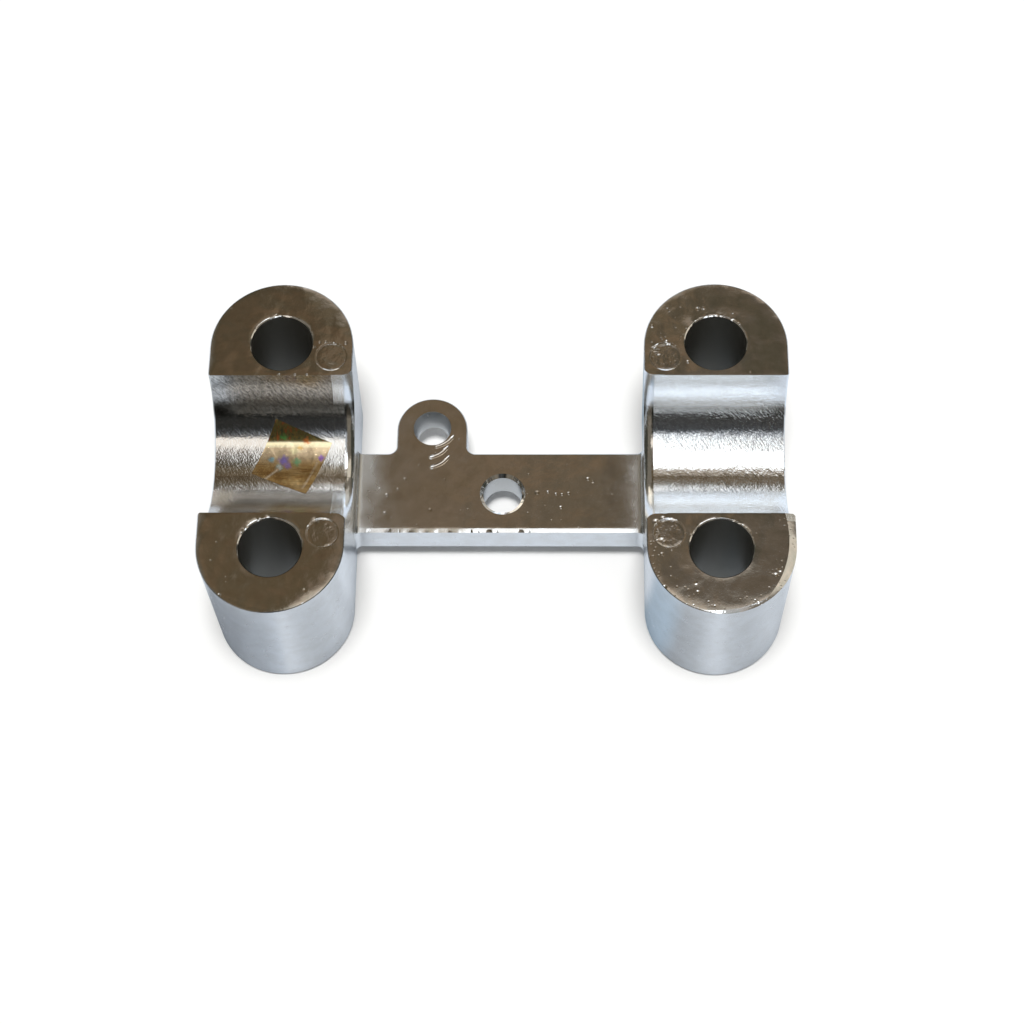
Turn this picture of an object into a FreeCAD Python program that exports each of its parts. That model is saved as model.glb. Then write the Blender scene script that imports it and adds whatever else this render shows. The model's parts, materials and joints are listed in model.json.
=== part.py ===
import FreeCAD, Part
import math
import os

# Upper half of a motorcycle handlebar clamp: a chrome-plated die casting with two saddle
# blocks, a web that joins them and a small ear on the web, and a foil sticker in one saddle.
# X runs along the handlebar, Y across it, and Z points out of the clamping faces. The origin
# is on the outer faces that the casting lies on, midway between the blocks and the bolts.

# Handlebar and saddle
bar_radius = 11.1            # 22.2 mm handlebar
pinch_gap = 0.5              # the bar's axis lies this far above the clamping faces
casting_height = 24.0
draft_angle = 0.9            # degrees, the walls narrow towards the outer faces

# Saddle blocks
block_width = 21.0           # along X, at the clamping faces
block_length = 53.0          # along Y, at the clamping faces
block_spacing = 63.5         # between the middles of the two blocks
outer_edge_chamfer = 0.5     # round the outer faces
rim_chamfer = 0.12           # round the clamping faces

# Ends of each groove
groove_chamfer = 0.3         # at the outer end
flare_radius = 1.75          # rounded mouth at the inner end, towards the web
flare_turn = 60.0            # degrees of rounding, up to the inner wall
relief_width = 1.5           # stepped band beside the mouth
relief_depth = 0.08

# Bolt holes
bolt_spacing = 33.0          # across the handlebar
bolt_hole_radius = 4.5
bolt_hole_chamfer = 0.15

# Ejector pin marks on the clamping faces
mark_radius = 2.4
mark_depth = 0.12
mark_bevel = 0.25            # width of its sloped wall
mark_wall = 0.75             # metal left between a mark and the edges beside it

# Facets that polishing has taken off the edge of the right block's front end. Each has its
# degrees from X to its widest place, its width there, and the degrees to where it runs out.
worn_facets = ((-13.0, 1.15, 40.0), (-76.0, 0.6, 30.0))
worn_slope = 15.0            # degrees below the clamping face

# Web between the blocks
web_width = 13.0
web_thickness = 5.3
web_lift = 2.7               # of its underside above the outer faces
web_front_bevel = 0.8        # along the upper front edge, measured on the upper face
web_front_drop = 0.3         # of that bevel down the front wall
web_low_fillet = 0.3         # along the lower front edge
web_edge_chamfer = 0.15      # along the rear edges and round the ear
web_end_fillet = 1.0         # all round, where it runs into the blocks
web_hole_radius = 2.9
web_hole_chamfer = 0.5
web_hole_x = 0.45
web_hole_y = -0.25

# Ear behind the web
ear_radius = 5.3
ear_x = -10.3
ear_reach = 10.6             # from the middle of the web to the middle of the round end
ear_thickness = 4.2          # down from the web's upper face
ear_neck_fillet = 1.3
ear_hole_shift = 0.2         # of the hole beyond the middle of the round end
ear_hole_radius = 2.35       # at the underside
ear_hole_mouth_radius = 2.85 # at the upper face: the hole is cast with a taper

# Comma-shaped dents that a round tool has gouged beside the hole in the ear
dent_places = ((0.7, -3.1), (-0.1, -4.9), (0.1, -6.55))  # of the deep ends, from that hole
dent_depth = 0.14            # at the deep end
dent_tool_radius = 0.6
dent_path_radius = 4.2
dent_heading = -76.0         # degrees, of the deep end as seen from the middle of the path
dent_sweep = 46.0            # degrees from the deep end to where the dent runs out

# Foil sticker in the left groove
sticker_side = 9.0
sticker_turn = -23.5         # degrees, on the unrolled groove wall
sticker_shift = 1.15         # from the middle of the left block, towards the web
sticker_arc = 2.75           # along the wall, from the bottom of the groove to the middle
sticker_thickness = 0.05

# Places that follow from the sizes
groove_axis_z = casting_height + pinch_gap
groove_half_chord = math.sqrt(bar_radius ** 2 - pinch_gap ** 2)
draft_inset = casting_height * math.tan(math.radians(draft_angle))
lobe_radius = block_width / 2
lobe_y = block_length / 2 - lobe_radius
block_x = block_spacing / 2
inner_wall_x = block_x - lobe_radius
web_top = web_lift + web_thickness
ear_low = web_top - ear_thickness
mark_x = inner_wall_x + mark_wall + mark_radius
mark_y = groove_half_chord + mark_wall + mark_radius
sticker_x = sticker_shift - block_x
overrun = 5.0                # how far a cutter runs past the metal
tolerance = 1e-3             # for telling edges apart by their places

ORIGIN = FreeCAD.Vector(0, 0, 0)
X_AXIS = FreeCAD.Vector(1, 0, 0)
Y_AXIS = FreeCAD.Vector(0, 1, 0)
Z_AXIS = FreeCAD.Vector(0, 0, 1)


def point(x, y, z):
    return FreeCAD.Vector(x, y, z)


def at_height(edge, z):
    box = edge.BoundBox
    return abs(box.ZMin - z) < tolerance and abs(box.ZMax - z) < tolerance


def rounded(solid, radius, wanted):
    """The solid with every edge rounded that the test picks."""
    return solid.makeFillet(radius, [edge for edge in solid.Edges if wanted(edge)])


def bevelled(solid, width, wanted):
    """The solid with every edge chamfered that the test picks."""
    return solid.makeChamfer(width, [edge for edge in solid.Edges if wanted(edge)])


def half_lobe(middle_x, sign):
    """Rounded end of a block: half a cone that narrows downwards."""
    cone = Part.makeCone(lobe_radius - draft_inset, lobe_radius, casting_height,
                         ORIGIN, Z_AXIS, 180)
    if sign < 0:
        cone.rotate(ORIGIN, Z_AXIS, 180)
    cone.translate(point(middle_x, sign * lobe_y, 0))
    return cone


def saddle_block(middle_x):
    """One block before its groove is cut: a straight middle between two rounded ends."""
    low_half = lobe_radius - draft_inset
    section = Part.makePolygon([
        point(middle_x - low_half, -lobe_y, 0),
        point(middle_x + low_half, -lobe_y, 0),
        point(middle_x + lobe_radius, -lobe_y, casting_height),
        point(middle_x - lobe_radius, -lobe_y, casting_height),
        point(middle_x - low_half, -lobe_y, 0),
    ])
    middle = Part.Face(section).extrude(Y_AXIS * (2 * lobe_y))
    return middle.multiFuse([half_lobe(middle_x, 1), half_lobe(middle_x, -1)]).removeSplitter()


def web_bar():
    """Flat bar from the middle of one block to the middle of the other."""
    return Part.makeBox(block_spacing, web_width, web_thickness,
                        point(-block_x, -web_width / 2, web_lift))


def ear_plate():
    """Round tab behind the web, level with the web's upper face."""
    disc = Part.makeCylinder(ear_radius, ear_thickness, point(ear_x, ear_reach, ear_low))
    neck = Part.makeBox(2 * ear_radius, ear_reach, ear_thickness,
                        point(ear_x - ear_radius, 0, ear_low))
    return disc.fuse(neck)


def is_ear_corner(edge):
    """Upright edge where a side of the ear leaves the back of the web."""
    middle = edge.BoundBox.Center
    beside_ear = abs(abs(middle.x - ear_x) - ear_radius) < tolerance
    at_back = abs(middle.y - web_width / 2) < tolerance
    return beside_ear and at_back and edge.BoundBox.ZLength > tolerance


def is_web_rim(edge, z):
    """Edge of the web at one height, between the blocks."""
    return at_height(edge, z) and abs(edge.BoundBox.Center.x) < inner_wall_x


def is_high_front_rim(edge):
    """The web's upper front edge."""
    return is_web_rim(edge, web_top) and edge.BoundBox.YMax < 0


def is_low_front_rim(edge):
    """The web's lower front edge."""
    return is_web_rim(edge, web_lift) and edge.BoundBox.YMax < 0


def is_rear_rim(edge):
    """One of the web's rear edges, or the ear's upper edge."""
    level = is_web_rim(edge, web_top) or is_web_rim(edge, web_lift)
    return level and edge.BoundBox.YMin > 0


def is_web_end(edge):
    """Edge where the web runs into the inner wall of a block."""
    box = edge.BoundBox
    on_wall = inner_wall_x < abs(box.Center.x) < inner_wall_x + draft_inset
    return on_wall and box.ZMin > web_lift - tolerance and box.ZMax < web_top + tolerance


def blank_casting():
    """The casting before its grooves and holes, with its corners rounded."""
    blank = saddle_block(block_x).multiFuse(
        [saddle_block(-block_x), web_bar(), ear_plate()]).removeSplitter()
    blank = rounded(blank, ear_neck_fillet, is_ear_corner)
    blank = bevelled(blank, web_edge_chamfer, is_rear_rim)
    blank = blank.makeChamfer(web_front_bevel, web_front_drop,
                              [edge for edge in blank.Edges if is_high_front_rim(edge)])
    blank = rounded(blank, web_low_fillet, is_low_front_rim)
    blank = rounded(blank, web_end_fillet, is_web_end)
    blank = bevelled(blank, outer_edge_chamfer, lambda edge: at_height(edge, 0))
    return bevelled(blank, rim_chamfer, lambda edge: at_height(edge, casting_height))


def groove_cutter(sign):
    """Turned body that cuts one saddle: the bar's radius, a stepped band and both mouths."""
    turn = math.radians(flare_turn)
    outer_x = block_x + lobe_radius
    mouth_x = inner_wall_x + flare_radius * math.sin(turn)
    step_x = mouth_x + relief_width
    band_radius = bar_radius + relief_depth
    flare_top = band_radius + flare_radius * (1 - math.cos(turn))

    def on_profile(x, radius):
        return point(sign * x, 0, groove_axis_z - radius)

    corners = [
        on_profile(inner_wall_x, flare_top),
        on_profile(inner_wall_x - overrun, flare_top),
        on_profile(inner_wall_x - overrun, 0),
        on_profile(outer_x + overrun, 0),
        on_profile(outer_x + overrun, bar_radius + groove_chamfer),
        on_profile(outer_x, bar_radius + groove_chamfer),
        on_profile(outer_x - groove_chamfer, bar_radius),
        on_profile(step_x, bar_radius),
        on_profile(step_x, band_radius),
        on_profile(mouth_x, band_radius),
    ]
    halfway = on_profile(mouth_x - flare_radius * math.sin(turn / 2),
                         band_radius + flare_radius * (1 - math.cos(turn / 2)))
    flare = Part.Arc(corners[-1], halfway, corners[0])
    outline = Part.Wire(Part.makePolygon(corners).Edges + [flare.toShape()])
    return Part.Face(outline).revolve(point(0, 0, groove_axis_z), X_AXIS, 360)


def upright_hole(x, y, radius, chamfer, low, high):
    """Straight hole from one height up to another, with both mouths chamfered."""
    reach = chamfer + overrun
    hole = Part.makeCylinder(radius, high - low + 2 * overrun, point(x, y, low - overrun))
    low_mouth = Part.makeCone(radius + reach, radius, reach, point(x, y, low - overrun))
    high_mouth = Part.makeCone(radius, radius + reach, reach, point(x, y, high - chamfer))
    return hole.multiFuse([low_mouth, high_mouth])


def ear_hole():
    """Tapered hole through the ear."""
    taper = (ear_hole_mouth_radius - ear_hole_radius) / ear_thickness
    low_radius = ear_hole_radius - taper * ear_hole_radius
    high_radius = ear_hole_mouth_radius + taper * overrun
    return Part.makeCone(low_radius, high_radius, ear_hole_radius + ear_thickness + overrun,
                         point(ear_x, ear_reach + ear_hole_shift, ear_low - ear_hole_radius))


def gouged_dent(x, y):
    """Cutter for one dent: a round tool that goes in at the deep end and out along an arc."""
    tilt = math.asin(dent_depth / (dent_path_radius * (1 - math.cos(math.radians(dent_sweep)))))
    heading = math.radians(dent_heading)
    path = Part.makeTorus(dent_path_radius, dent_tool_radius, ORIGIN, Z_AXIS, 0, 360, dent_sweep)
    half_ball = Part.makeSphere(dent_tool_radius, ORIGIN, Z_AXIS, -90, 90, 180)
    half_ball.rotate(ORIGIN, Z_AXIS, 180)
    half_ball.translate(point(dent_path_radius, 0, 0))
    dent = path.fuse(half_ball)
    dent.rotate(ORIGIN, Y_AXIS, math.degrees(tilt))
    dent.rotate(ORIGIN, Z_AXIS, dent_heading)
    reach = dent_path_radius * math.cos(tilt)
    rise = dent_path_radius * math.sin(tilt)
    dent.translate(point(x - reach * math.cos(heading), y - reach * math.sin(heading),
                         web_top - dent_depth + dent_tool_radius + rise))
    return dent


def ejector_mark(x, y):
    """Shallow round dent with a sloped wall, which an ejector pin leaves in a clamping face."""
    return Part.makeCone(mark_radius - mark_bevel, mark_radius + mark_bevel, 2 * mark_depth,
                         point(x, y, casting_height - mark_depth))


def worn_facet(heading, width, reach):
    """What polishing took off one edge: all that lies outside a cone set off from the lobe."""
    turn = math.radians(heading)
    shift = width / (1 - math.cos(math.radians(reach)))
    face_radius = lobe_radius - width + shift
    middle_x = block_x - shift * math.cos(turn)
    middle_y = -lobe_y - shift * math.sin(turn)
    depth = 2 * width * math.tan(math.radians(worn_slope))
    kept = Part.makeCone(face_radius + 2 * width, face_radius, depth,
                         point(middle_x, middle_y, casting_height - depth))
    around = Part.makeCylinder(face_radius + shift + width, depth + overrun,
                               point(middle_x, middle_y, casting_height - depth))
    above = Part.makeCylinder(face_radius, overrun, point(middle_x, middle_y, casting_height))
    return around.cut(kept).cut(above)


def clamp_casting():
    """The whole casting."""
    cutters = [groove_cutter(1), groove_cutter(-1), ear_hole(),
               upright_hole(web_hole_x, web_hole_y, web_hole_radius, web_hole_chamfer,
                            web_lift, web_top)]
    for shift_x, shift_y in dent_places:
        cutters.append(gouged_dent(ear_x + shift_x, ear_reach + ear_hole_shift + shift_y))
    for heading, width, reach in worn_facets:
        cutters.append(worn_facet(heading, width, reach))
    for side in (-1, 1):
        for end in (-1, 1):
            cutters.append(upright_hole(side * block_x, end * bolt_spacing / 2,
                                        bolt_hole_radius, bolt_hole_chamfer,
                                        0, casting_height))
            cutters.append(ejector_mark(side * mark_x, end * mark_y))
    return blank_casting().cut(cutters)


def foil_sticker():
    """Thin square of foil that lies on the wall of the left groove."""
    half = sticker_side / 2
    turn = math.radians(sticker_turn)
    corners = []
    for across, along in ((-half, -half), (half, -half), (half, half), (-half, half)):
        x = sticker_x + across * math.cos(turn) - along * math.sin(turn)
        arc = sticker_arc + across * math.sin(turn) + along * math.cos(turn)
        corners.append(point(x, bar_radius * math.sin(arc / bar_radius), 0))
    outline = Part.makePolygon(corners + corners[:1])
    column = Part.Face(outline).extrude(Z_AXIS * groove_axis_z)
    start = point(sticker_x - sticker_side, 0, groove_axis_z)
    outside = Part.makeCylinder(bar_radius, 2 * sticker_side, start, X_AXIS)
    inside = Part.makeCylinder(bar_radius - sticker_thickness, 2 * sticker_side, start, X_AXIS)
    return outside.cut(inside).common(column)


os.makedirs("parts", exist_ok=True)
for name, shape in (("clamp_casting", clamp_casting()), ("foil_sticker", foil_sticker())):
    shape.exportStep("parts/" + name + ".step")
    print(name, "solids", len(shape.Solids), "faces", len(shape.Faces),
          "valid", shape.isValid(), "volume", round(shape.Volume, 2))
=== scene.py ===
import bpy
import json
import math
from mathutils import Matrix, Vector

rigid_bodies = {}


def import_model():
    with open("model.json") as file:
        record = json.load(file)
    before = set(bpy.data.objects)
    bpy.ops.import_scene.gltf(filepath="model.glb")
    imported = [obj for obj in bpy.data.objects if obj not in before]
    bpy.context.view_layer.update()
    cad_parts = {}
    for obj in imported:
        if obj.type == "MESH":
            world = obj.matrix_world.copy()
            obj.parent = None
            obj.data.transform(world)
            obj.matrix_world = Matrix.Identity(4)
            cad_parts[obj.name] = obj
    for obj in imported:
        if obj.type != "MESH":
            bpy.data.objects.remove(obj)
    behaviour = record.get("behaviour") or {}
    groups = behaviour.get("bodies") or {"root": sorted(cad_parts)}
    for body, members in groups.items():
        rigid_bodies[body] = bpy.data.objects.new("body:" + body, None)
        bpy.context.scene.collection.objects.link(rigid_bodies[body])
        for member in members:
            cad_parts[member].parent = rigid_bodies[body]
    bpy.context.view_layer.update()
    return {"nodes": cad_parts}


# Upper half of a chrome-plated handlebar clamp on a pale floor, seen from the front and above.
# The frame is the part's own: X along the handlebar, Y towards the ear, Z up, in metres.

for leftover in list(bpy.data.objects):
    bpy.data.objects.remove(leftover)

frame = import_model()
casting = frame["nodes"]["clamp_casting"]
sticker = frame["nodes"]["foil_sticker"]
MM = 0.001

# Sizes of the part that its finishes follow, in millimetres
BLOCK_X = 31.75              # middle of a block
LOBE_Y = 16.0                # middle of a block's rounded end
LOBE_R = 10.5
INNER_WALL_X = BLOCK_X - LOBE_R
FACE_Z = 24.0                # clamping faces
FACE_DEPTH = 0.6             # how far below them their rounded edges reach
GROOVE_AXIS_Z = 24.5
GROOVE_R = 11.1
GROOVE_REACH = 12.3          # radius that takes in the groove and its flared mouth
GROOVE_EDGE_Y = math.sqrt(GROOVE_R ** 2 - (GROOVE_AXIS_Z - FACE_Z) ** 2)
BAND_OUTER_X = 24.3          # outer end of the stepped band beside that mouth
BOLT_Y = 16.5
BOLT_R = 4.5
RIM_SLACK = 0.05             # takes in the wall or rim that lies right on a hole's radius
BORE_REACH = BOLT_R + RIM_SLACK
LIP_DEPTH = 0.16
LIP_REACH = BOLT_R + LIP_DEPTH    # outer edge of the chamfer round a bolt hole
MARK_X, MARK_Y, MARK_R, MARK_BEVEL = 24.4, 14.24, 2.4, 0.25
WEB_Z = 8.0                  # top of the web
WEB_DEPTH = 0.52             # how far below it the bevels of its edges reach
WEB_BEVEL_Y = -5.7           # where the bevel of its front edge begins
WEB_HOLE_X, WEB_HOLE_Y = 0.45, -0.25
WEB_HOLE_R = 2.93            # just over the hole's wall
WEB_HOLE_RIM = 3.4           # outer edge of the bevel round it
EAR_HOLE_X, EAR_HOLE_Y, EAR_HOLE_R = -10.3, 10.8, 2.86
DENTS_X, DENTS_Y, DENTS_REACH = -9.5, 6.3, 3.6
DENT_SKIN = 0.012            # what lies deeper than this below the web's top is a dent
DENT_TAILS_X = -10.1
SLACK = 0.02                 # keeps a limit clear of the surface that lies right on it
FACING_UP = 0.80             # least upward part of the normal on a polished face
GLINT_X, GLINT_Y = 0.6, -0.8 # direction in which an ejector mark's rim glints less
RAMP_ARC = 20.0              # length of the groove's wall that its ramp of painted dark bands spans
STROKES_SLANT = -52          # degrees, of the polishing strokes on the groove's unrolled wall

# Colours and roughness of the finishes, and colours of painted shade and painted reflections
PLATING, WORN_PLATING = (0.80, 0.80, 0.79, 1), (0.74, 0.73, 0.71, 1)
# The first is a painted pale reflection in the grooves, the second painted shade on the left groove's
# front wall.
PAINTED_PALE_REFLECTION, PAINTED_FRONT_SHADE = (0.92, 0.95, 0.98, 1), (0.84, 0.82, 0.80, 1)
# The first is a painted dark reflection band in the right groove, the second painted shade in the dents
# of the web.
PAINTED_DARK_BAND, PAINTED_DENT_SHADE = (0.50, 0.50, 0.49, 1), (0.46, 0.40, 0.34, 1)
# The first is painted shade on the walls of the web's and ear's holes, the second the colour of the
# bolt holes' walls.
PAINTED_HOLE_SHADE, BORE_WALL = (0.58, 0.56, 0.52, 1), (0.20, 0.19, 0.16, 1)
WALL_ROUGH, FACE_ROUGH, GROOVE_ROUGH, DENT_ROUGH, BORE_ROUGH = 0.26, 0.085, 0.10, 0.22, 0.40
FOIL_ROUGH = 0.12
SHEET, SHEET_IN_CHROME = (0.92, 0.92, 0.91, 1), (0.70, 0.76, 0.84, 1)
SHEET_GLOW = 0.04            # lifts the sheet to white, for the camera's own rays only
WHITE = (1, 1, 1, 1)

# Small nicks and lumps in the polish: x, y, radius and height, in millimetres. Their places
# are rough. Some have no clear counterpart in the photo, and those on the web lie up to 3 mm off.
FACE_NICKS = (
    (-38.30, -23.76, 0.30, -0.05), (-28.61, -26.24, 0.25, -0.04), (-27.52, -25.78, 0.25, -0.04),
    (-26.57, -25.25, 0.30, -0.04), (-26.40, -23.05, 0.40, -0.03), (-25.44, -12.40, 0.80, -0.07),
    (-34.66, 19.22, 0.35, -0.05), (-32.69, 21.20, 0.35, -0.05), (-31.64, 20.90, 0.30, 0.05),
    (-26.98, 15.83, 0.30, -0.04), (-26.14, 16.67, 0.30, -0.04), (-25.25, 16.70, 0.30, -0.04),
    (-22.31, 16.50, 0.35, -0.05), (-31.92, 11.20, 0.30, 0.06), (-29.59, 11.20, 0.28, 0.06),
    (-27.84, 11.20, 0.28, 0.06), (22.72, 15.44, 0.60, 0.10), (23.30, 14.80, 0.50, -0.08),
    (24.63, 16.55, 0.45, -0.08), (25.10, 16.10, 0.40, 0.07), (29.28, 22.19, 0.45, 0.06),
    (30.02, 22.36, 0.40, -0.05), (22.49, 19.31, 0.35, -0.06), (28.93, 19.95, 0.35, -0.06),
    (35.20, 19.70, 0.30, -0.05), (27.60, 13.30, 0.35, -0.06), (22.59, -12.51, 0.60, -0.09),
    (23.58, -11.95, 0.50, -0.08), (24.85, -12.14, 0.40, -0.07), (23.25, -14.84, 0.55, 0.09),
    (23.66, -15.60, 0.40, -0.06), (22.85, -13.75, 0.40, 0.06), (23.35, -17.47, 0.35, -0.05),
    (22.32, -21.14, 0.45, -0.07), (23.68, -22.51, 0.40, -0.06), (28.00, -21.90, 0.35, 0.05),
    (28.24, -23.26, 0.35, -0.05), (39.72, -19.90, 0.35, 0.05), (39.13, -20.66, 0.40, -0.06),
)
WEB_NICKS = (
    (-17.90, 0.56, 0.35, -0.05), (-16.82, -0.44, 0.40, -0.06), (-15.21, 0.57, 0.30, -0.04),
    (-14.21, 2.24, 0.35, -0.04), (-17.02, -3.42, 0.35, -0.05), (-10.33, -2.92, 0.40, -0.03),
    (13.19, 2.25, 0.40, -0.06), (13.90, 1.80, 0.30, 0.04), (5.60, -0.05, 0.50, -0.05),
    (7.22, 0.08, 0.28, -0.05), (8.41, -0.25, 0.28, -0.05), (9.31, -0.34, 0.30, -0.05),
    (10.30, -0.15, 0.35, -0.05), (9.16, -2.49, 0.35, -0.06),
)
NICKS_STRENGTH = 0.5         # the share of those heights that is used
NOISE_MEAN = 0.5

# Marks of the foil
FOIL_CREASE = 4.9            # along the groove's wall from its bottom
FOIL_FLECKS = (              # x, place along the groove's wall, radius and colour
    (-31.8, 2.4, 0.75, (0.35, 0.28, 0.90)), (-32.5, 1.3, 0.55, (0.55, 0.90, 0.95)),
    (-29.9, 2.2, 0.60, (0.25, 0.62, 0.35)), (-26.3, 2.8, 0.45, (0.50, 0.25, 0.85)),
    (-30.3, 3.9, 0.70, (0.95, 0.85, 0.50)), (-33.6, 2.6, 0.40, (0.35, 0.65, 0.75)),
    (-28.4, 5.4, 0.50, (0.75, 0.22, 0.05)), (-31.9, 6.0, 0.45, (0.20, 0.60, 0.15)),
    (-32.7, 1.1, 0.30, (1.00, 0.62, 0.30)), (-32.4, 1.4, 0.28, (1.00, 1.00, 0.96)),
    (-31.2, 1.6, 0.50, (0.50, 0.36, 0.85)), (-29.4, 4.4, 0.35, (0.90, 0.60, 0.20)),
)
FOIL_SCRATCHES = (           # start, end and strength
    ((-34.7, -0.7), (-32.7, 1.0), 0.70), ((-28.9, -2.3), (-26.8, 2.2), 0.30),
)

# Light: what mirrored rays see of the room, the sky for all others, and the sun
SIDE_WALLS, LIT_WALL, DARK_ENDS = (0.19, 0.17, 0.14, 1), (0.75, 0.68, 0.57, 1), (0.055, 0.055, 0.045, 1)
LEFT_PANE, RIGHT_PANE = (1.20, 1.10, 0.95, 1), (0.55, 0.52, 0.47, 1)
LEFT_LAMP, MIDDLE_LAMP, RIGHT_LAMP = (1.10, 1.00, 0.89, 1), (1.25, 1.25, 1.24, 1), (2.3, 2.45, 2.6, 1)
SKY_STRENGTH = 0.42
KEY_STRENGTH, KEY_SPREAD = 2.55, 16                # watts per square metre, degrees
KEY_FROM = Vector((0.0, -0.08, 1.0))

# Camera, from the photo's rims, holes and outlines
ELEVATION, YAW, ROLL = 64.1967, 3.1239, -2.7699    # degrees
DISTANCE = 363.708                                 # mm
AIM = Vector((1.671, 0.6235, 0.0))                 # mm, on the floor
FOCAL = 2387.16                                    # in pixels of a 1024-pixel frame
FRAME_PIXELS = 1024.0
SENSOR = 36.0
NEAREST = 0.01                                     # m, where the camera starts to see


class Tree:
    """Short names for making and linking nodes."""

    def __init__(self, tree):
        self.tree = tree
        self.tree.nodes.clear()

    def add(self, kind, **settings):
        node = self.tree.nodes.new(kind)
        for name, value in settings.items():
            setattr(node, name, value)
        return node

    def put(self, value, socket):
        if isinstance(value, bpy.types.NodeSocket):
            self.tree.links.new(value, socket)
        else:
            socket.default_value = value

    def math(self, operation, *values, clamp=False):
        node = self.add("ShaderNodeMath", operation=operation, use_clamp=clamp)
        for value, socket in zip(values, node.inputs):
            self.put(value, socket)
        return node.outputs[0]

    def plus(self, *values):
        total = values[0]
        for value in values[1:]:
            total = self.math("ADD", total, value)
        return total

    def minus(self, a, b):
        return self.math("SUBTRACT", a, b)

    def times(self, *values):
        product = values[0]
        for value in values[1:]:
            product = self.math("MULTIPLY", product, value)
        return product

    def hypot(self, a, b):
        return self.math("SQRT", self.plus(self.times(a, a), self.times(b, b)))

    def above(self, value, limit):
        return self.math("GREATER_THAN", value, limit)

    def below(self, value, limit):
        return self.math("LESS_THAN", value, limit)

    def step(self, value, low, high):
        """0 below low, 1 above high, smooth between them."""
        node = self.add("ShaderNodeMapRange", interpolation_type="SMOOTHSTEP")
        self.put(value, node.inputs["Value"])
        self.put(low, node.inputs["From Min"])
        self.put(high, node.inputs["From Max"])
        return node.outputs["Result"]

    def mix(self, factor, a, b):
        """A number between a and b."""
        node = self.add("ShaderNodeMix", data_type="FLOAT")
        self.put(factor, node.inputs["Factor"])
        self.put(a, node.inputs["A"])
        self.put(b, node.inputs["B"])
        return node.outputs["Result"]

    def mix_colour(self, factor, a, b, blend="MIX"):
        node = self.add("ShaderNodeMix", data_type="RGBA", blend_type=blend)
        colours = [s for s in node.inputs if s.type == "RGBA"]
        self.put(factor, node.inputs[0])
        self.put(a, colours[0])
        self.put(b, colours[1])
        return [s for s in node.outputs if s.type == "RGBA"][0]

    def noise(self, vector, scale, detail=2.0, roughness=0.5):
        node = self.add("ShaderNodeTexNoise")
        self.put(vector, node.inputs["Vector"])
        node.inputs["Scale"].default_value = scale
        node.inputs["Detail"].default_value = detail
        node.inputs["Roughness"].default_value = roughness
        return node.outputs["Fac"]

    def cells(self, vector, scale):
        """Distance to the nearest of scattered points, and a random colour for each."""
        node = self.add("ShaderNodeTexVoronoi")
        self.put(vector, node.inputs["Vector"])
        node.inputs["Scale"].default_value = scale
        return node.outputs["Distance"], node.outputs["Color"]

    def pits(self, vector, scale, radius, share):
        """1 in the middle of a few scattered round spots, 0 outside them."""
        distance, colour = self.cells(vector, scale)
        chosen = self.below(self.separate(colour)[0], share)
        return self.times(self.step(distance, radius * scale, 0.0), chosen)

    def tinted(self, share, colour, tint):
        """The colour times the tint where share is 1, and as it was where share is 0."""
        return self.mix_colour(share, colour, tint, "MULTIPLY")

    def distance(self, vector, point):
        node = self.add("ShaderNodeVectorMath", operation="DISTANCE")
        self.put(vector, node.inputs[0])
        node.inputs[1].default_value = point
        return node.outputs["Value"]

    def mark_wall(self, radius):
        """Rises from 0 to 1 over the sloped wall of an ejector mark, going inwards."""
        node = self.add("ShaderNodeMapRange")
        self.put(radius, node.inputs["Value"])
        node.inputs["From Min"].default_value = MARK_R
        node.inputs["From Max"].default_value = MARK_R - MARK_BEVEL
        return node.outputs["Result"]

    def nicks(self, vector, height, places):
        """Sum of small round bumps and dents at the places given."""
        total = 0.0
        for x, y, radius, rise in places:
            bump = self.step(self.distance(vector, (x, y, height)), radius, 0.0)
            total = self.math("MULTIPLY_ADD", bump, rise, total)
        return total

    def ramp(self, factor, stops):
        node = self.add("ShaderNodeValToRGB")
        ramp = node.color_ramp
        while len(ramp.elements) > 1:
            ramp.elements.remove(ramp.elements[-1])
        for index, (place, colour) in enumerate(stops):
            element = ramp.elements[0] if index == 0 else ramp.elements.new(place)
            element.position = place
            element.color = (*colour, 1.0)
        self.put(factor, node.inputs["Fac"])
        return node.outputs["Color"]

    def combine(self, x, y, z):
        node = self.add("ShaderNodeCombineXYZ")
        for value, socket in zip((x, y, z), node.inputs):
            self.put(value, socket)
        return node.outputs[0]

    def separate(self, vector):
        node = self.add("ShaderNodeSeparateXYZ")
        self.put(vector, node.inputs[0])
        return node.outputs[:3]

    def scaled(self, vector, scale):
        node = self.add("ShaderNodeVectorMath", operation="MULTIPLY")
        self.put(vector, node.inputs[0])
        node.inputs[1].default_value = scale
        return node.outputs[0]

    def place(self):
        """The point in the object's own coordinates, in millimetres."""
        return self.scaled(self.add("ShaderNodeTexCoord").outputs["Object"], (1 / MM,) * 3)

    def either(self, share, a, b):
        """Shader a where share is 0 and b where it is 1."""
        node = self.add("ShaderNodeMixShader")
        for value, socket in zip((share, a, b), node.inputs):
            self.put(value, socket)
        return node.outputs[0]

    def finish(self, shader, kind="ShaderNodeOutputMaterial"):
        self.put(shader, self.add(kind).inputs["Surface"])


def new_material(name):
    material = bpy.data.materials.new(name)
    material.use_nodes = True
    return material, Tree(material.node_tree)


def half_turns(degrees):
    """An angle as a share of half a turn, which is how the ramps take it."""
    return degrees / 180.0


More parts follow.
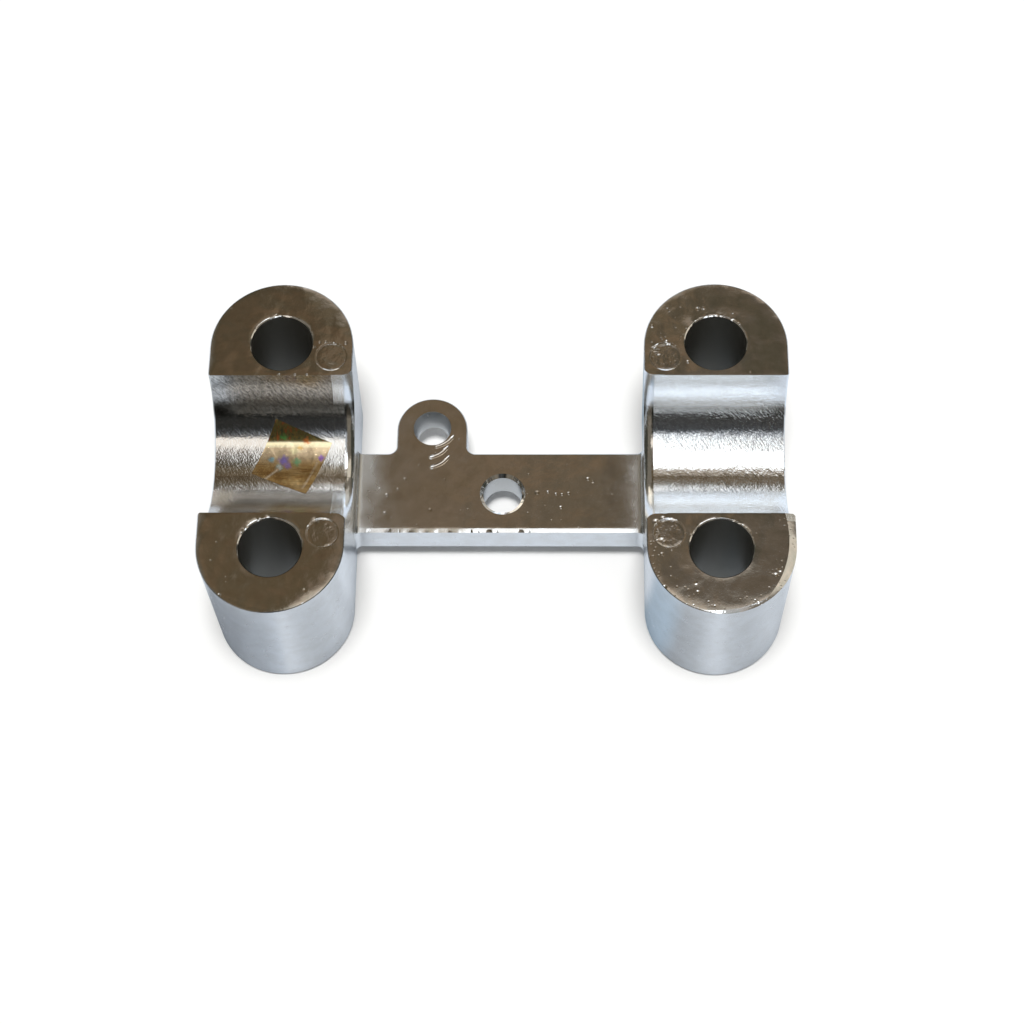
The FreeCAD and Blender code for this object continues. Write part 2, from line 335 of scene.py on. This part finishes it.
class Surface:
    """Where a point of the casting lies, in millimetres, and which finish it has."""

    def __init__(self, t):
        self.place = t.place()
        self.x, self.y, self.z = t.separate(self.place)
        self.side_x = t.math("ABSOLUTE", self.x)
        self.side_y = t.math("ABSOLUTE", self.y)
        self.right = t.above(self.x, 0.0)
        self.front = t.below(self.y, 0.0)

        block_dx = t.minus(self.side_x, BLOCK_X)
        lobe_dy = t.math("MAXIMUM", t.minus(self.side_y, LOBE_Y), 0.0)
        self.rim_gap = t.minus(LOBE_R, t.hypot(block_dx, lobe_dy))
        self.groove_gap = t.minus(self.side_y, GROOVE_EDGE_Y)
        self.end_gap = t.minus(INNER_WALL_X, self.side_x)
        self.bolt_r = t.hypot(block_dx, t.minus(self.side_y, BOLT_Y))
        self.mark_r = t.hypot(t.minus(self.side_x, MARK_X), t.minus(self.side_y, MARK_Y))
        block_shift = t.times(t.math("SIGN", self.x), MARK_X)
        row_shift = t.times(t.math("SIGN", self.y), MARK_Y)
        self.mark_side = t.plus(t.times(t.minus(self.x, block_shift), GLINT_X),
                                t.times(t.minus(self.y, row_shift), GLINT_Y))

        drop = t.minus(GROOVE_AXIS_Z, self.z)
        groove_r = t.hypot(self.y, drop)
        self.arc = t.times(t.math("ARCTAN2", self.y, drop), GROOVE_R)

        slant = math.radians(STROKES_SLANT)
        self.along = t.plus(t.times(self.x, math.cos(slant)), t.times(self.arc, math.sin(slant)))
        self.across = t.minus(t.times(self.arc, math.cos(slant)), t.times(self.x, math.sin(slant)))

        normal_z = t.separate(t.add("ShaderNodeNewGeometry").outputs["Normal"])[2]
        facing_up = t.above(normal_z, FACING_UP)
        self.in_bore = t.times(t.below(self.bolt_r, BORE_REACH), t.below(self.z, FACE_Z - LIP_DEPTH))
        on_lip = t.times(t.below(self.bolt_r, LIP_REACH), t.above(self.z, FACE_Z - LIP_DEPTH))
        self.on_face = t.times(t.above(self.z, FACE_Z - FACE_DEPTH),
                               t.math("MAXIMUM", facing_up, on_lip))
        self.bolt_dy = t.minus(self.y, t.times(t.math("SIGN", self.y), BOLT_Y))
        self.in_groove = t.times(t.below(groove_r, GROOVE_REACH),
                                 t.above(self.side_x, INNER_WALL_X - SLACK),
                                 t.below(self.z, FACE_Z - SLACK))
        self.on_band = t.times(self.in_groove, t.below(self.side_x, BAND_OUTER_X))
        self.hole_dy = t.minus(self.y, WEB_HOLE_Y)
        self.hole_r = t.hypot(t.minus(self.x, WEB_HOLE_X), self.hole_dy)
        ear_hole_r = t.hypot(t.minus(self.x, EAR_HOLE_X), t.minus(self.y, EAR_HOLE_Y))
        self.in_holes = t.math("MAXIMUM", t.below(self.hole_r, WEB_HOLE_R),
                               t.below(ear_hole_r, EAR_HOLE_R))
        hole_rim = t.below(self.hole_r, WEB_HOLE_RIM + RIM_SLACK)
        self.on_web = t.times(t.below(self.side_x, INNER_WALL_X), t.above(self.z, WEB_Z - WEB_DEPTH),
                              t.math("MAXIMUM", facing_up, hole_rim))
        dents_r = t.hypot(t.minus(self.x, DENTS_X), t.minus(self.y, DENTS_Y))
        self.in_dent = t.times(self.on_web, t.below(self.z, WEB_Z - DENT_SKIN),
                               t.below(dents_r, DENTS_REACH))


def face_shape(t, s):
    """Waves, rolled edges, dished holes, nicks and pits of the polished clamping faces."""
    waves = t.times(t.noise(s.place, 0.16, 2.0), 0.15)
    peel = t.times(t.noise(s.place, 0.85, 3.0, 0.6), 0.011)
    rolled = t.plus(t.times(t.math("EXPONENT", t.times(s.rim_gap, -1.7)), 0.055),
                    t.times(t.math("EXPONENT", t.times(s.groove_gap, -3.0)), 0.015))
    lip_gap = t.minus(s.bolt_r, BOLT_R)
    rear_side = t.step(s.bolt_dy, -1.0, 3.0)
    uneven = t.times(t.step(t.noise(s.place, 0.45, 2.0), 0.34, 0.56), rear_side)
    bevel = t.math("MAXIMUM", t.minus(LIP_REACH, s.bolt_r), 0.0)
    dished = t.plus(t.times(t.math("EXPONENT", t.times(lip_gap, -0.8)), t.mix(s.right, 0.03, -0.05)),
                    t.times(t.math("EXPONENT", t.times(lip_gap, -4.0)), uneven, 0.10),
                    t.times(bevel, t.step(s.bolt_dy, -0.5, 1.5), -0.62))
    in_mark = t.step(s.mark_r, MARK_R, MARK_R - 0.7)
    lumpy = t.times(t.noise(s.place, 0.9, 2.0), in_mark, t.mix(s.right, 0.03, 0.06))
    filled = t.mark_wall(s.mark_r)
    ring = t.times(filled, t.minus(1.0, filled), 4.0)
    glint = t.times(t.step(t.noise(s.place, 1.1, 1.0), 0.50, 0.60), t.step(s.mark_side, 0.6, -0.8))
    filled = t.minus(t.times(filled, 0.112), t.times(ring, glint, 0.022))
    outer_front = t.times(s.right, s.front, t.step(s.rim_gap, 3.4, 1.4),
                          t.above(t.noise(s.place, 0.35, 1.0), 0.49))
    inner_rear = t.times(s.right, t.minus(1.0, s.front), t.step(s.x, 33.0, 26.0))
    inner_rear = t.times(inner_rear, t.above(t.noise(s.place, 0.4, 1.0), 0.48))
    front_pits = t.times(t.pits(s.place, 1.9, 0.22, 0.8), outer_front, -0.012)
    rear_pits = t.times(t.pits(s.place, 1.4, 0.24, 0.5), inner_rear, -0.012)
    few = t.times(t.pits(s.place, 0.5, 0.22, 0.4), -0.014)
    nicks = t.times(t.nicks(s.place, FACE_Z, FACE_NICKS), NICKS_STRENGTH)
    return t.minus(t.plus(waves, peel, lumpy, filled, front_pits, rear_pits, few, nicks),
                   t.plus(rolled, dished))


def web_shape(t, s):
    """Waves, nicks and pits of the web's upper face, its drawn ends and uneven front edge."""
    waves = t.times(t.noise(s.place, 0.14, 2.0), 0.11)
    peel = t.times(t.noise(s.place, 0.8, 3.0, 0.6), 0.010)
    few = t.times(t.pits(s.place, 0.8, 0.22, 0.45), -0.012)
    cloudy = t.plus(0.4, t.noise(s.place, 0.25, 2.0))
    drawn = t.times(t.math("EXPONENT", t.times(s.end_gap, -0.42)), cloudy, -0.10)
    bevel = t.math("MAXIMUM", t.minus(WEB_BEVEL_Y, s.y), 0.0)
    pieces = t.noise(t.combine(t.times(s.x, 0.42), 4.0, 0.0), 1.0, 0.0)
    left_part = t.times(t.step(s.x, -17.5, -14.0), t.step(s.x, -3.0, -5.5))
    gaps = t.times(t.step(s.x, 7.0, 4.0), t.step(pieces, 0.50, 0.68))
    worn = t.math("MAXIMUM", t.times(left_part, t.mix(t.step(pieces, 0.36, 0.62), 0.24, 0.31)),
                  t.times(gaps, 0.27))
    upper_edge = t.math("MINIMUM", bevel, 0.22)
    broken = t.plus(t.times(upper_edge, 0.36), t.times(t.minus(bevel, upper_edge), worn))
    lip = t.math("MAXIMUM", t.minus(WEB_HOLE_RIM, s.hole_r), 0.0)
    lower = t.step(s.hole_dy, 0.2, -1.2)
    nicks = t.times(t.nicks(s.place, WEB_Z, WEB_NICKS), NICKS_STRENGTH)
    return t.plus(waves, peel, few, drawn, broken, t.times(lip, lower, 0.60), nicks)


def groove_shape(t, s):
    """Slanting polishing strokes and a coarse grain, on the unrolled wall of the groove."""
    strokes = t.noise(t.combine(t.times(s.along, 1.1), t.times(s.across, 2.6), 0.0), 1.0, 2.0, 0.6)
    fine = t.noise(t.combine(t.times(s.along, 3.2), t.times(s.across, 5.0), 0.0), 1.0, 1.0)
    waves = t.noise(s.place, 0.35, 2.0)
    uneven = t.mix(s.right, 0.7, t.plus(0.75, t.times(t.step(s.x, 26.0, 40.0), 0.65)))
    coarse = t.times(t.mix(s.on_band, 1.0, 0.4), uneven, t.mix(s.right, 0.016, 0.030))
    near_top = t.step(t.math("ABSOLUTE", t.minus(s.arc, 2.0)), 6.5, 9.0)
    grain = t.mix(near_top, t.mix(s.right, 0.011, 0.012), 0.010)
    return t.plus(t.times(strokes, coarse), t.times(fine, grain), t.times(waves, 0.030))


def groove_colour(t, s, plated):
    """The groove's plating over a random grain, with painted reflections placed along its wall: dark
    bands and pale patches on the left, a pale far wall and a dark band on the right.
    """
    grain = t.noise(t.combine(t.times(s.along, 1.4), t.times(s.across, 3.4), 0.0), 1.0, 3.0, 0.6)
    grain = t.ramp(grain, [(0.38, (0.55, 0.55, 0.55)), (0.5, (0.95, 0.95, 0.95)),
                           (0.60, (1.22, 1.22, 1.22))])
    rear, front = t.step(s.arc, 8.6, 10.4), t.step(s.arc, -2.4, -3.6)
    grained = t.tinted(rear, plated, grain)
    # Painted reflection and shade: dark bands painted into the left groove's plating by place along its
    # wall, down to 0.22 of its colour, and a slightly greyer front wall.
    muted = t.ramp(t.math("DIVIDE", s.arc, RAMP_ARC), [
        (0.43, (1.0, 1.0, 1.0)), (0.47, (0.34, 0.34, 0.33)), (0.50, (0.22, 0.22, 0.21)),
        (0.545, (0.25, 0.25, 0.24)), (0.58, (0.44, 0.44, 0.43)), (0.62, (0.60, 0.59, 0.58)),
        (0.80, (0.76, 0.75, 0.73))])
    muted = t.mix_colour(front, muted, PAINTED_FRONT_SHADE)
    left = t.tinted(1.0, grained, muted)
    # Painted reflection: pale bluish patches on the left groove's stepped band and front wall, and on
    # the right groove's far wall and front wall.
    painted_pale_band = t.times(s.on_band, t.math("MAXIMUM", t.step(s.arc, 10.8, 11.8), front))
    left = t.mix_colour(painted_pale_band, left, PAINTED_PALE_REFLECTION)
    far_wall = t.math("MAXIMUM", t.step(s.arc, 9.8, 10.8), front)
    right = t.mix_colour(far_wall, plated, PAINTED_PALE_REFLECTION)
    # Painted reflection: a dark band along the right groove's wall, at half the plating's colour.
    dark_band = t.times(t.step(s.arc, 8.8, 9.4), t.step(s.arc, 10.9, 10.2))
    right = t.mix_colour(dark_band, right, PAINTED_DARK_BAND)
    streaks = t.mix_colour(t.mix(t.step(s.arc, 10.2, 11.4), 0.68, 0.88), grain, WHITE)
    right = t.tinted(t.step(s.arc, 6.0, 8.0), right, streaks)
    return t.mix_colour(s.right, left, right)


def wall_shape(t, s):
    """Soft waves and a fine grain on the walls as cast."""
    waves = t.times(t.noise(s.place, 0.13, 2.0), 0.10)
    grain = t.times(t.noise(s.place, 3.0, 2.0), 0.002)
    return t.plus(waves, grain)


def mirror(t, colour, roughness, height=None, metallic=1.0):
    """A metal of the colour and roughness given, with normals that follow a height in mm."""
    shader = t.add("ShaderNodeBsdfPrincipled")
    t.put(metallic, shader.inputs["Metallic"])
    t.put(colour, shader.inputs["Base Color"])
    t.put(roughness, shader.inputs["Roughness"])
    if height is not None:
        bump = t.add("ShaderNodeBump")
        bump.inputs["Strength"].default_value = 1.0
        bump.inputs["Distance"].default_value = MM
        t.put(height, bump.inputs["Height"])
        t.put(bump.outputs["Normal"], shader.inputs["Normal"])
    return shader.outputs[0]


def chrome_material():
    material, t = new_material("chrome_plating")
    s = Surface(t)
    tone = t.noise(s.place, 0.5, 3.0, 0.6)
    plated = t.mix_colour(t.step(tone, 0.35, 0.7), PLATING, WORN_PLATING)
    haze = t.times(t.minus(t.noise(s.place, 0.7, 3.0, 0.6), NOISE_MEAN), 0.08)

    # Painted shade: the walls of the web's and ear's holes darker than the plating outside.
    wall_tone = t.mix_colour(s.in_holes, plated, PAINTED_HOLE_SHADE)
    wall = mirror(t, wall_tone, t.plus(haze, WALL_ROUGH), wall_shape(t, s))
    face = mirror(t, plated, t.plus(haze, FACE_ROUGH), face_shape(t, s))

    faded = t.math("EXPONENT", t.times(s.end_gap, t.mix(s.right, -0.24, -0.50)))
    clouded = t.times(faded, t.plus(0.25, t.noise(s.place, 0.30, 2.0)), 0.42)
    muted = t.mix(s.in_dent, t.plus(haze, FACE_ROUGH, clouded), DENT_ROUGH)
    # Painted shade: the dents' parts right of DENT_TAILS_X darker and browner than the plating.
    dent_shade = t.times(s.in_dent, t.step(s.x, DENT_TAILS_X - 0.3, DENT_TAILS_X + 0.3))
    web = mirror(t, t.mix_colour(dent_shade, plated, PAINTED_DENT_SHADE), muted, web_shape(t, s))

    rear = t.mix(t.step(s.arc, 9.2, 11.4), GROOVE_ROUGH, t.mix(s.right, 0.23, 0.25))
    front = t.mix(t.step(s.arc, -2.0, -3.6), GROOVE_ROUGH, t.mix(s.right, 0.20, 0.25))
    frosted = t.math("MAXIMUM", rear, front)
    groove = mirror(t, groove_colour(t, s, plated), t.plus(haze, frosted), groove_shape(t, s))
    bore = mirror(t, BORE_WALL, BORE_ROUGH, metallic=0.6)

    shader = wall
    for share, finish in ((s.on_face, face), (s.on_web, web), (s.in_groove, groove),
                          (s.in_bore, bore)):
        shader = t.either(share, shader, finish)
    t.finish(shader)
    return material


def foil_material():
    """Gold holographic foil: a creased, tinted mirror with fine lines, spectral flecks, painted
    highlights and painted shade.
    """
    material, t = new_material("gold_foil")
    place = t.place()
    x, y, z = t.separate(place)
    arc = t.times(t.math("ARCTAN2", y, t.minus(GROOVE_AXIS_Z, z)), GROOVE_R)
    spread = t.combine(x, arc, 0.0)
    upper = t.step(arc, FOIL_CREASE, FOIL_CREASE + 0.5)
    tone = t.noise(place, 0.7, 3.0, 0.6)
    gold = t.ramp(tone, [(0.35, (0.44, 0.27, 0.10)), (0.5, (0.58, 0.39, 0.16)),
                         (0.65, (0.70, 0.52, 0.26))])
    lines = t.noise(t.combine(t.times(x, 0.30), t.times(arc, 6.0), 0.0), 1.0, 2.0, 0.7)
    gold = t.mix_colour(t.step(lines, 0.50, 0.66), gold, (0.36, 0.20, 0.06, 1))
    # Painted shade: the foil darker towards its lower end.
    gold = t.mix_colour(t.times(t.step(arc, -1.0, -2.6), 0.55), gold, (0.34, 0.22, 0.10, 1))
    # Painted highlight: a lighter band above the middle of the foil.
    gold = t.mix_colour(t.times(t.step(arc, 1.2, 3.4), 0.75), gold, (0.86, 0.70, 0.48, 1))
    tint = t.noise(t.combine(t.times(x, 1.6), t.times(arc, 0.9), 0.0), 1.0, 2.0, 0.6)
    olive_tint_and_shade = t.ramp(tint, [(0.38, (0.15, 0.15, 0.07)), (0.46, (0.46, 0.29, 0.09)),
                          (0.54, (0.17, 0.22, 0.08)), (0.62, (0.55, 0.19, 0.06))])
    # Above the crease the foil is olive and darker, partly its tint and partly painted shade.
    colour = t.mix_colour(upper, gold, olive_tint_and_shade)
    crease = t.math("ABSOLUTE", t.minus(arc, FOIL_CREASE))
    # Painted highlight: a light line along the crease.
    colour = t.mix_colour(t.step(crease, 0.62, 0.30), colour, (0.95, 0.86, 0.58, 1))
    noise = t.add("ShaderNodeTexNoise")
    t.put(place, noise.inputs["Vector"])
    noise.inputs["Scale"].default_value = 2.2
    wavy = t.scaled(noise.outputs["Color"], (1.0, 1.0, 0.0))
    bent = t.add("ShaderNodeVectorMath", operation="ADD")
    t.put(spread, bent.inputs[0])
    t.put(wavy, bent.inputs[1])
    for fleck_x, fleck_arc, radius, hue in FOIL_FLECKS:
        away = t.distance(bent.outputs[0], (fleck_x + NOISE_MEAN, fleck_arc + NOISE_MEAN, 0.0))
        spot = t.times(t.step(away, radius * 1.5, radius * 0.1), 0.9)
        colour = t.mix_colour(spot, colour, (*hue, 1))
    for start, end, strength in FOIL_SCRATCHES:
        run = Vector(end) - Vector(start)
        ux, uy = run.normalized()
        dx, dy = t.minus(x, start[0]), t.minus(arc, start[1])
        along = t.plus(t.times(dx, ux), t.times(dy, uy))
        across = t.math("ABSOLUTE", t.minus(t.times(dx, uy), t.times(dy, ux)))
        scratch = t.times(t.step(across, 0.26, 0.08), t.above(along, 0.0),
                          t.below(along, run.length), strength)
        colour = t.mix_colour(scratch, colour, (1.0, 0.92, 0.76, 1))
    height = t.plus(t.times(t.noise(place, 0.5, 2.0), 0.02),
                    t.times(t.math("SQRT", t.plus(t.times(crease, crease), 0.09)), 0.09))
    t.finish(mirror(t, colour, FOIL_ROUGH, height, t.mix(upper, 0.84, 0.87)))
    return material


def beside_blocks(t):
    """How the floor round each block shades off with the side it is on, as the chrome sees it."""
    x, y = t.separate(t.place())[:2]
    dx = t.minus(x, t.times(t.math("SIGN", x), BLOCK_X))
    dy = t.math("MAXIMUM", t.minus(t.math("ABSOLUTE", y), LOBE_Y), 0.0)
    side = t.plus(t.math("DIVIDE", t.math("ARCTAN2", dx, dy), math.pi),
                  t.mix(t.above(x, 0.0), 0.46, 0.5))
    shade = t.ramp(side, [(half_turns(90 + degrees), (share,) * 3) for degrees, share in (
        (-90, 0.40), (-56, 0.45), (-42, 0.56), (-31, 0.60), (-21, 0.68), (-12, 0.82), (-3, 0.96),
        (4, 0.94), (15, 0.79), (25, 0.73), (35, 0.72), (47, 0.76), (63, 0.86), (90, 0.80))])
    bluish = t.times(t.above(x, 0.0), t.step(side, half_turns(52), half_turns(28)))
    shade = t.tinted(bluish, shade, (1.34, 1.54, 1.70, 1))
    dim = t.times(t.below(x, 0.0), t.step(side, half_turns(89), half_turns(80)))
    shade = t.tinted(dim, shade, (0.90, 0.92, 0.95, 1))
    near = t.times(t.step(t.hypot(dx, dy), LOBE_R + 15.0, LOBE_R + 9.0),
                   t.step(t.math("ABSOLUTE", y), 12.0, 17.0))
    return t.mix_colour(near, WHITE, shade)


def make_floor():
    """Pale sheet under the part. Mirrored rays see it bluer, darker and shaded round the blocks."""
    mesh = bpy.data.meshes.new("floor")
    half = 3.0
    mesh.from_pydata([(-half, -half, 0), (half, -half, 0), (half, half, 0), (-half, half, 0)],
                     [], [(0, 1, 2, 3)])
    floor = bpy.data.objects.new("floor", mesh)
    bpy.context.scene.collection.objects.link(floor)
    material, t = new_material("pale_floor")
    ray = t.add("ShaderNodeLightPath")
    paint = t.add("ShaderNodeBsdfDiffuse")
    paint.inputs["Color"].default_value = SHEET
    glow = t.add("ShaderNodeEmission")
    t.put(t.times(ray.outputs["Is Camera Ray"], SHEET_GLOW), glow.inputs["Strength"])
    pale = t.add("ShaderNodeAddShader")
    t.put(paint.outputs[0], pale.inputs[0])
    t.put(glow.outputs[0], pale.inputs[1])
    mirrored = t.add("ShaderNodeBsdfDiffuse")
    t.put(t.tinted(1.0, SHEET_IN_CHROME, beside_blocks(t)), mirrored.inputs["Color"])
    t.finish(t.either(ray.outputs["Is Glossy Ray"], pale.outputs[0], mirrored.outputs[0]))
    mesh.materials.append(material)


def room_stops(*stops):
    """Stops of a colour ramp over half a turn, from places in degrees."""
    return [(half_turns(degrees), colour) for degrees, colour in stops]


def turn_limit(t, x, stops):
    """A limit in half turns that changes with the direction's side component."""
    start, end = stops[0][0], stops[-1][0]
    place = t.math("DIVIDE", t.minus(x, start), end - start, clamp=True)
    return t.ramp(place, [((side - start) / (end - start), (half_turns(degrees),) * 3)
                          for side, degrees in stops])


def make_world():
    """A plain sky, white to the camera, and for mirrored rays a room painted by direction.

    Right of the middle the room is pale low behind the part, brown above that and dark in
    front. Left of it the room is dark all round. A lamp hangs overhead.
    """
    world = bpy.data.worlds.new("studio")
    world.use_nodes = True
    bpy.context.scene.world = world
    t = Tree(world.node_tree)
    direction = t.add("ShaderNodeTexCoord").outputs["Generated"]
    x, y, z = t.separate(direction)
    patchy = t.times(t.minus(t.noise(direction, 4.0, 3.0, 0.6), NOISE_MEAN), 0.04)
    turn = t.plus(t.math("DIVIDE", t.math("ARCTAN2", z, y), math.pi), patchy)

    def turned(low, high):
        """0 before one angle and 1 past the other, in degrees from behind over the top."""
        return t.step(turn, half_turns(low), half_turns(high))

    outer = t.times(t.step(x, 0.050, 0.105), turned(61, 53), half_turns(17))
    right_room = t.ramp(t.plus(turn, outer), room_stops(
        (0, (0.85, 0.94, 1.04)), (38, (1.05, 1.19, 1.36)), (44, (0.80, 0.89, 0.98)),
        (52, (0.26, 0.25, 0.23)), (57, (0.084, 0.070, 0.046)), (60, (0.118, 0.091, 0.060)),
        (67.5, (0.106, 0.090, 0.070)), (71, (0.42, 0.37, 0.31)), (73.5, (0.54, 0.49, 0.43)),
        (80, (0.60, 0.56, 0.50)),
        (128, (0.40, 0.44, 0.50)), (134, (0.055, 0.057, 0.062)), (172, (0.045, 0.044, 0.040)),
        (180, (0.30, 0.30, 0.29))))
    left_room = t.ramp(turn, room_stops(
        (0, (0.11, 0.095, 0.075)), (33, (0.20, 0.17, 0.14)), (42, (0.14, 0.115, 0.09)),
        (48, (0.080, 0.065, 0.040)), (57, (0.094, 0.068, 0.040)), (61, (0.106, 0.073, 0.042)),
        (65, (0.148, 0.100, 0.057)),
        (72, (0.105, 0.080, 0.048)), (82, (0.080, 0.060, 0.038)), (92, (0.11, 0.09, 0.07)),
        (104, (0.20, 0.17, 0.15)), (124, (0.06, 0.06, 0.055)), (130, (0.020, 0.021, 0.020)),
        (172, (0.018, 0.018, 0.016)), (180, (0.10, 0.10, 0.09))))
    middle = t.times(t.step(x, 0.045, 0.020), turned(77.4, 68.4))
    right_room = t.tinted(middle, right_room, (1.50, 1.38, 1.28, 1))
    shadow = t.times(t.step(x, 0.072, 0.045), t.step(x, 0.0, 0.03), turned(131.4, 135))
    right_room = t.tinted(shadow, right_room, (1.75, 1.85, 1.90, 1))
    room = t.mix_colour(t.step(x, -0.115, -0.085), left_room, right_room)
    far = t.math("ABSOLUTE", x)
    room = t.mix_colour(t.step(far, 0.18, 0.32), room, SIDE_WALLS)
    beyond = t.times(t.step(x, 0.30, 0.36), turned(50.4, 59.4), turned(90, 81))
    room = t.mix_colour(beyond, room, LIT_WALL)
    pane = t.times(t.step(far, 0.16, 0.21), t.step(far, 0.62, 0.55), turned(41.4, 36),
                   turned(3.6, 9))
    room = t.mix_colour(pane, room, t.mix_colour(t.above(x, 0.0), LEFT_PANE, RIGHT_PANE))
    room = t.mix_colour(t.step(far, 0.72, 0.85), room, DARK_ENDS)
    stain = t.ramp(t.noise(direction, 13.0, 3.0, 0.6), [
        (0.36, (0.70, 0.76, 0.72)), (0.5, (1.0, 1.0, 1.0)), (0.64, (1.38, 1.26, 1.18))])
    room = t.tinted(1.0, room, stain)

    low = turn_limit(t, x, ((-0.16, 109), (-0.13, 104), (-0.095, 85), (0.0, 76), (0.3, 76)))
    high = turn_limit(t, x, ((-0.16, 124), (-0.09, 121), (0.045, 131), (0.058, 122),
                             (0.071, 112), (0.087, 100), (0.2, 97)))
    soft = half_turns(2)
    lit = t.times(t.step(t.minus(turn, low), -soft, soft), t.step(t.minus(turn, high), soft, -soft))
    lit = t.times(lit, t.step(far, 0.40, 0.30))
    lamp = t.mix_colour(t.step(x, -0.13, -0.10), LEFT_LAMP, MIDDLE_LAMP)
    lamp = t.mix_colour(t.step(x, -0.01, 0.035), lamp, RIGHT_LAMP)
    room = t.mix_colour(lit, room, lamp)

    ray = t.add("ShaderNodeLightPath")
    overhead = t.times(t.math("MAXIMUM", z, 0.0), SKY_STRENGTH)
    overhead = t.math("MAXIMUM", overhead, ray.outputs["Is Camera Ray"])
    plain = t.add("ShaderNodeBackground")
    t.put(t.combine(overhead, overhead, overhead), plain.inputs["Color"])
    mirrored = t.add("ShaderNodeBackground")
    t.put(room, mirrored.inputs["Color"])
    t.finish(t.either(ray.outputs["Is Glossy Ray"], plain.outputs[0], mirrored.outputs[0]),
             "ShaderNodeOutputWorld")


def make_key_light():
    """Soft light from overhead, which the floor takes and the chrome doesn't mirror."""
    data = bpy.data.lights.new("key", "SUN")
    data.energy = KEY_STRENGTH
    data.angle = math.radians(KEY_SPREAD)
    key = bpy.data.objects.new("key", data)
    key.visible_glossy = False
    key.rotation_euler = KEY_FROM.to_track_quat("Z", "Y").to_euler()
    bpy.context.scene.collection.objects.link(key)


def make_camera():
    elevation, yaw, roll = (math.radians(a) for a in (ELEVATION, YAW, ROLL))
    back = Vector((math.sin(yaw) * math.cos(elevation), -math.cos(yaw) * math.cos(elevation),
                   math.sin(elevation)))
    level = Vector((math.cos(yaw), math.sin(yaw), 0))
    above = back.cross(level)
    right = math.cos(roll) * level + math.sin(roll) * above
    up = -math.sin(roll) * level + math.cos(roll) * above
    data = bpy.data.cameras.new("camera")
    data.sensor_width = SENSOR
    data.lens = FOCAL / FRAME_PIXELS * SENSOR
    data.clip_start = NEAREST
    camera = bpy.data.objects.new("camera", data)
    bpy.context.scene.collection.objects.link(camera)
    turn = Matrix((right, up, back)).transposed()
    camera.matrix_world = Matrix.Translation((AIM + DISTANCE * back) * MM) @ turn.to_4x4()
    bpy.context.scene.camera = camera


casting.data.materials[0] = chrome_material()
sticker.data.materials[0] = foil_material()
make_floor()
make_world()
make_key_light()
make_camera()
bpy.context.scene.view_settings.view_transform = "Standard"
